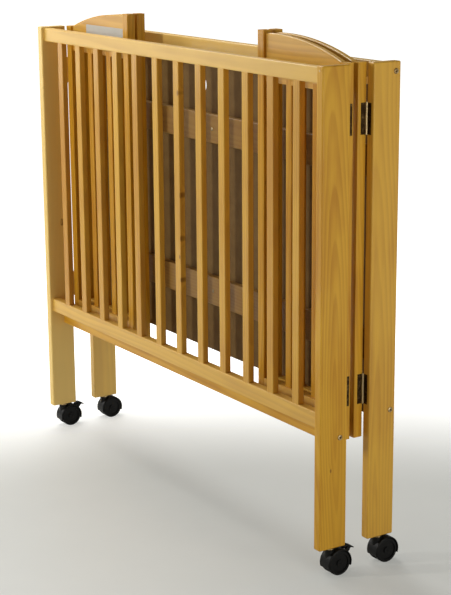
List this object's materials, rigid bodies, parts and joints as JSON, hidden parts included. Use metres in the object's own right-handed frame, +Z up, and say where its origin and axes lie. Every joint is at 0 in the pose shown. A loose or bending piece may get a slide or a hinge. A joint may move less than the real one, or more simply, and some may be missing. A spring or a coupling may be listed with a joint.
{
  "type": "folding wooden baby crib",
  "caption": "Folding wooden baby crib on casters, stored flat, with slatted sides, arched hinged end panels and a fold-up mattress board.",
  "frame": {"origin": "on the floor, under the middle of the folded crib's overall box", "axes": "+X along the crib towards its right end, +Y from the front side to the rear side that keeps the mattress board, +Z up"},
  "size_m": [1.0394, 0.1738, 0.934],
  "materials": {
    "pine": "satin",
    "hardboard": "matte",
    "brass": "aged",
    "brass_bolts": "polished",
    "steel": "satin",
    "caster_body": "satin",
    "caster_wheel": "matte",
    "blank_label": "matte"
  },
  "bodies": {
    "rear_side": {"rear_left_leg": "pine", "rear_right_leg": "pine", "rear_top_rail": "pine", "rear_bottom_rail": "pine", "rear_slats": "pine", "rear_frame_bolts": "brass_bolts", "rear_hinge_plates": "brass", "rear_hinge_pins": "brass", "mattress_board": "hardboard", "board_battens": "pine", "board_hinges": "brass", "rear_caster_stems": "steel"},
    "left_rear_half": {"left_rear_half_outer_stile": "pine", "left_rear_half_inner_stile": "pine", "left_rear_half_bottom_rail": "pine", "left_rear_half_crest_rail": "pine", "left_rear_half_slats": "pine", "left_rear_half_hinge_plates": "brass", "left_rear_half_middle_pins": "brass"},
    "left_front_half": {"left_front_half_outer_stile": "pine", "left_front_half_inner_stile": "pine", "left_front_half_bottom_rail": "pine", "left_front_half_crest_rail": "pine", "left_front_half_slats": "pine", "left_front_half_hinge_plates": "brass"},
    "front_side": {"front_left_leg": "pine", "front_right_leg": "pine", "front_top_rail": "pine", "front_bottom_rail": "pine", "front_slats": "pine", "mattress_ledge": "pine", "front_rail_dowels": "pine", "front_ledge_bolts": "brass_bolts", "front_lock_pins": "brass", "front_hinge_plates": "brass", "front_hinge_pins": "brass", "front_caster_stems": "steel"},
    "right_rear_half": {"right_rear_half_outer_stile": "pine", "right_rear_half_inner_stile": "pine", "right_rear_half_bottom_rail": "pine", "right_rear_half_crest_rail": "pine", "right_rear_half_slats": "pine", "right_rear_half_hinge_plates": "brass", "right_rear_half_middle_pins": "brass"},
    "right_front_half": {"right_front_half_outer_stile": "pine", "right_front_half_inner_stile": "pine", "right_front_half_bottom_rail": "pine", "right_front_half_crest_rail": "pine", "right_front_half_slats": "pine", "right_front_half_hinge_plates": "brass"},
    "front_left_caster": {"front_left_caster_hood": "caster_body"},
    "front_left_wheels": {"front_left_caster_wheels": "caster_wheel"},
    "front_left_brake": {"front_left_caster_brake": "caster_body"},
    "front_right_caster": {"front_right_caster_hood": "caster_body"},
    "front_right_wheels": {"front_right_caster_wheels": "caster_wheel"},
    "front_right_brake": {"front_right_caster_brake": "caster_body"},
    "rear_left_caster": {"rear_left_caster_hood": "caster_body"},
    "rear_left_wheels": {"rear_left_caster_wheels": "caster_wheel"},
    "rear_right_caster": {"rear_right_caster_hood": "caster_body"},
    "rear_right_wheels": {"rear_right_caster_wheels": "caster_wheel"}
  },
  "joints": [
    {"name": "left_rear_hinge", "type": "hinge", "parent": "rear_side", "child": "left_rear_half", "pos_m": [-0.4961, 0.0185, 0.801], "axis": [0, 0, -1], "range_deg": [0, 89.61]},
    {"name": "left_middle_hinge", "type": "hinge", "parent": "left_rear_half", "child": "left_front_half", "pos_m": [-0.23285, -0.0043, 0.801], "axis": [0, 0, 1], "range_deg": [0, 179.22]},
    {"name": "left_front_hinge", "type": "hinge", "parent": "left_front_half", "child": "front_side", "pos_m": [-0.4961, -0.0271, 0.801], "axis": [0, 0, -1], "range_deg": [0, 89.61]},
    {"name": "right_rear_hinge", "type": "hinge", "parent": "rear_side", "child": "right_rear_half", "pos_m": [0.4961, 0.0185, 0.801], "axis": [0, 0, 1], "range_deg": [0, 89.61]},
    {"name": "right_middle_hinge", "type": "hinge", "parent": "right_rear_half", "child": "right_front_half", "pos_m": [0.23285, -0.0043, 0.801], "axis": [0, 0, -1], "range_deg": [0, 179.22]},
    {"name": "front_left_swivel", "type": "hinge", "parent": "front_side", "child": "front_left_caster", "pos_m": [-0.5055, -0.0576, 0.05], "axis": [0, 0, 1], "continuous": true},
    {"name": "front_left_wheel_spin", "type": "hinge", "parent": "front_left_caster", "child": "front_left_wheels", "pos_m": [-0.5055, -0.0436, 0.0225], "axis": [1, 0, 0], "continuous": true},
    {"name": "front_left_brake_pivot", "type": "hinge", "parent": "front_left_caster", "child": "front_left_brake", "pos_m": [-0.5055, -0.02295, 0.04315], "axis": [-1, 0, 0], "range_deg": [0, 22]},
    {"name": "front_right_swivel", "type": "hinge", "parent": "front_side", "child": "front_right_caster", "pos_m": [0.5055, -0.0576, 0.05], "axis": [0, 0, 1], "continuous": true},
    {"name": "front_right_wheel_spin", "type": "hinge", "parent": "front_right_caster", "child": "front_right_wheels", "pos_m": [0.5055, -0.0436, 0.0225], "axis": [1, 0, 0], "continuous": true},
    {"name": "front_right_brake_pivot", "type": "hinge", "parent": "front_right_caster", "child": "front_right_brake", "pos_m": [0.5055, -0.02295, 0.04315], "axis": [-1, 0, 0], "range_deg": [0, 22]},
    {"name": "rear_left_swivel", "type": "hinge", "parent": "rear_side", "child": "rear_left_caster", "pos_m": [-0.5055, 0.0474, 0.05], "axis": [0, 0, 1], "continuous": true},
    {"name": "rear_left_wheel_spin", "type": "hinge", "parent": "rear_left_caster", "child": "rear_left_wheels", "pos_m": [-0.5055, 0.0614, 0.0225], "axis": [1, 0, 0], "continuous": true},
    {"name": "rear_right_swivel", "type": "hinge", "parent": "rear_side", "child": "rear_right_caster", "pos_m": [0.5055, 0.0474, 0.05], "axis": [0, 0, 1], "continuous": true},
    {"name": "rear_right_wheel_spin", "type": "hinge", "parent": "rear_right_caster", "child": "rear_right_wheels", "pos_m": [0.5055, 0.0614, 0.0225], "axis": [1, 0, 0], "continuous": true}
  ],
  "couplings": [
    {"joint": "left_middle_hinge", "follows": "left_rear_hinge", "ratio": 2},
    {"joint": "left_front_hinge", "follows": "left_rear_hinge", "ratio": 1},
    {"joint": "right_rear_hinge", "follows": "left_rear_hinge", "ratio": 1},
    {"joint": "right_middle_hinge", "follows": "left_rear_hinge", "ratio": 2}
  ]
}
